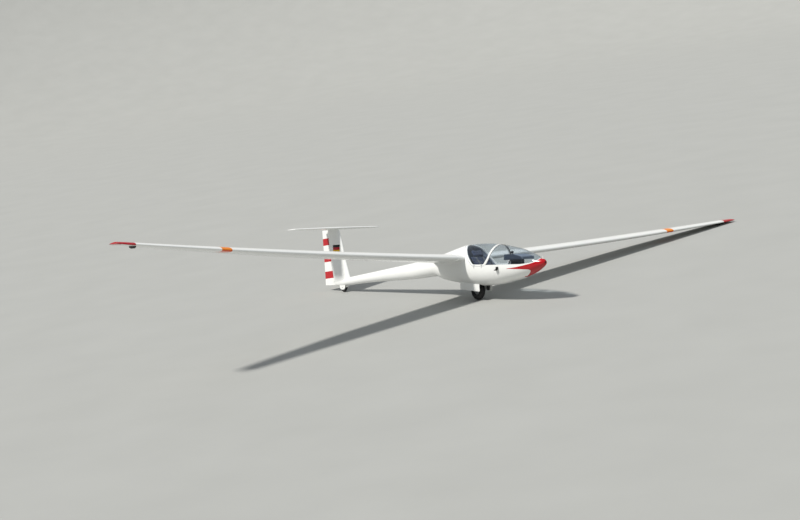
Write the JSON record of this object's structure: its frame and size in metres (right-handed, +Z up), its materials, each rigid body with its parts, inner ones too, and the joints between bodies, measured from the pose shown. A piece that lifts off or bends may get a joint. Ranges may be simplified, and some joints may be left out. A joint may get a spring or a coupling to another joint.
{
  "type": "single-seat sailplane glider",
  "caption": "Slender white T-tailed sailplane with a two-piece canopy, lowered main wheel and tail wheel, parked with its left wing tip on the ground.",
  "frame": {"origin": "on the floor, at the centre of the parked sailplane's bounding box", "axes": "+X towards the nose, +Y towards the left wing tip, +Z up; parked nose-up by 3 degrees and banked 10 degrees to its left"},
  "size_m": [7.071, 14.7866, 2.5979],
  "materials": {
    "gelcoat_white": "gloss white gelcoat",
    "canopy_glass": "clear acrylic, faint blue tint",
    "seat_fabric": "dark blue woven cloth",
    "inside_grey": "matt light grey paint",
    "panel_blue": "matt dark blue-grey",
    "black_plastic": "satin black",
    "bare_steel": "satin",
    "dark_steel": "blackened steel",
    "tyre": "worn black rubber"
  },
  "bodies": {
    "airframe": {"fuselage_centre": "gelcoat_white", "fuselage_tub": "gelcoat_white", "fuselage_front": "gelcoat_white", "fuselage_nose": "gelcoat_white", "tail_boom": "gelcoat_white", "fin": "gelcoat_white", "tailplane": "gelcoat_white", "wing_left": "gelcoat_white", "wing_right": "gelcoat_white", "tip_skid_left": "black_plastic", "tip_skid_right": "black_plastic", "windscreen_hoop": "gelcoat_white", "windscreen_glass": "canopy_glass", "wheel_box": "inside_grey", "gear_legs": "bare_steel", "main_axle": "bare_steel", "gear_door_left": "gelcoat_white", "gear_door_right": "gelcoat_white", "tail_fork": "gelcoat_white", "tail_axle": "bare_steel", "seat_pan": "inside_grey", "backrest": "seat_fabric", "headrest": "seat_fabric", "shelf": "inside_grey", "instrument_pod": "panel_blue", "compass": "black_plastic", "control_stick": "black_plastic", "rudder_pedals": "bare_steel", "airbrake_lever": "bare_steel", "nose_inlet": "black_plastic", "nose_post": "gelcoat_white", "side_scoop": "black_plastic", "tow_hook": "dark_steel"},
    "canopy": {"canopy_frame": "gelcoat_white", "canopy_glass": "canopy_glass"},
    "left_aileron": {"aileron_left": "gelcoat_white"},
    "right_aileron": {"aileron_right": "gelcoat_white"},
    "left_airbrake": {"airbrake_left": "gelcoat_white"},
    "right_airbrake": {"airbrake_right": "gelcoat_white"},
    "rudder_body": {"rudder": "gelcoat_white"},
    "elevator_body": {"elevator": "gelcoat_white"},
    "main_wheel": {"main_hub": "bare_steel", "main_tyre": "tyre"},
    "tail_wheel": {"tail_hub": "bare_steel", "tail_tyre": "tyre"}
  },
  "joints": [
    {"name": "canopy_hinge", "type": "hinge", "parent": "airframe", "child": "canopy", "pos_m": [1.60302, -0.42121, 0.70738], "axis": [0.9986, 0, 0.0523], "range_deg": [0, 56]},
    {"name": "left_aileron_hinge", "type": "hinge", "parent": "airframe", "child": "left_aileron", "pos_m": [0.95402, 4.20769, 0.27075], "axis": [0.0684, 0.9946, -0.0779], "range_deg": [-18, 18]},
    {"name": "right_aileron_hinge", "type": "hinge", "parent": "airframe", "child": "right_aileron", "pos_m": [0.87729, -4.30703, 1.73476], "axis": [0.0507, -0.9645, 0.259], "range_deg": [-18, 18]},
    {"name": "left_airbrake_slide", "type": "slide", "parent": "airframe", "child": "left_airbrake", "axis": [-0.0521, 0.1045, 0.9932], "range_m": [0, 0.06]},
    {"name": "right_airbrake_slide", "type": "slide", "parent": "airframe", "child": "right_airbrake", "axis": [-0.0509, 0.2341, 0.9709], "range_m": [0, 0.06]},
    {"name": "rudder_hinge", "type": "hinge", "parent": "airframe", "child": "rudder_body", "pos_m": [-3.0796, -0.16237, 0.13791], "axis": [-0.2023, 0.1677, 0.9648], "range_deg": [-30, 30]},
    {"name": "elevator_hinge", "type": "hinge", "parent": "airframe", "child": "elevator_body", "pos_m": [-3.21554, 0.04176, 1.31797], "axis": [0.0089, 0.9855, -0.1694], "range_deg": [-25, 25]},
    {"name": "main_wheel_spin", "type": "hinge", "parent": "airframe", "child": "main_wheel", "pos_m": [1.626, -0.19868, 0.17334], "axis": [0.0089, 0.9855, -0.1694], "continuous": true},
    {"name": "tail_wheel_spin", "type": "hinge", "parent": "airframe", "child": "tail_wheel", "pos_m": [-2.76913, -0.17187, 0.09892], "axis": [0.0089, 0.9855, -0.1694], "continuous": true}
  ],
  "couplings": [
    {"joint": "right_aileron_hinge", "follows": "left_aileron_hinge", "ratio": 1},
    {"joint": "right_airbrake_slide", "follows": "left_airbrake_slide", "ratio": 1}
  ]
}
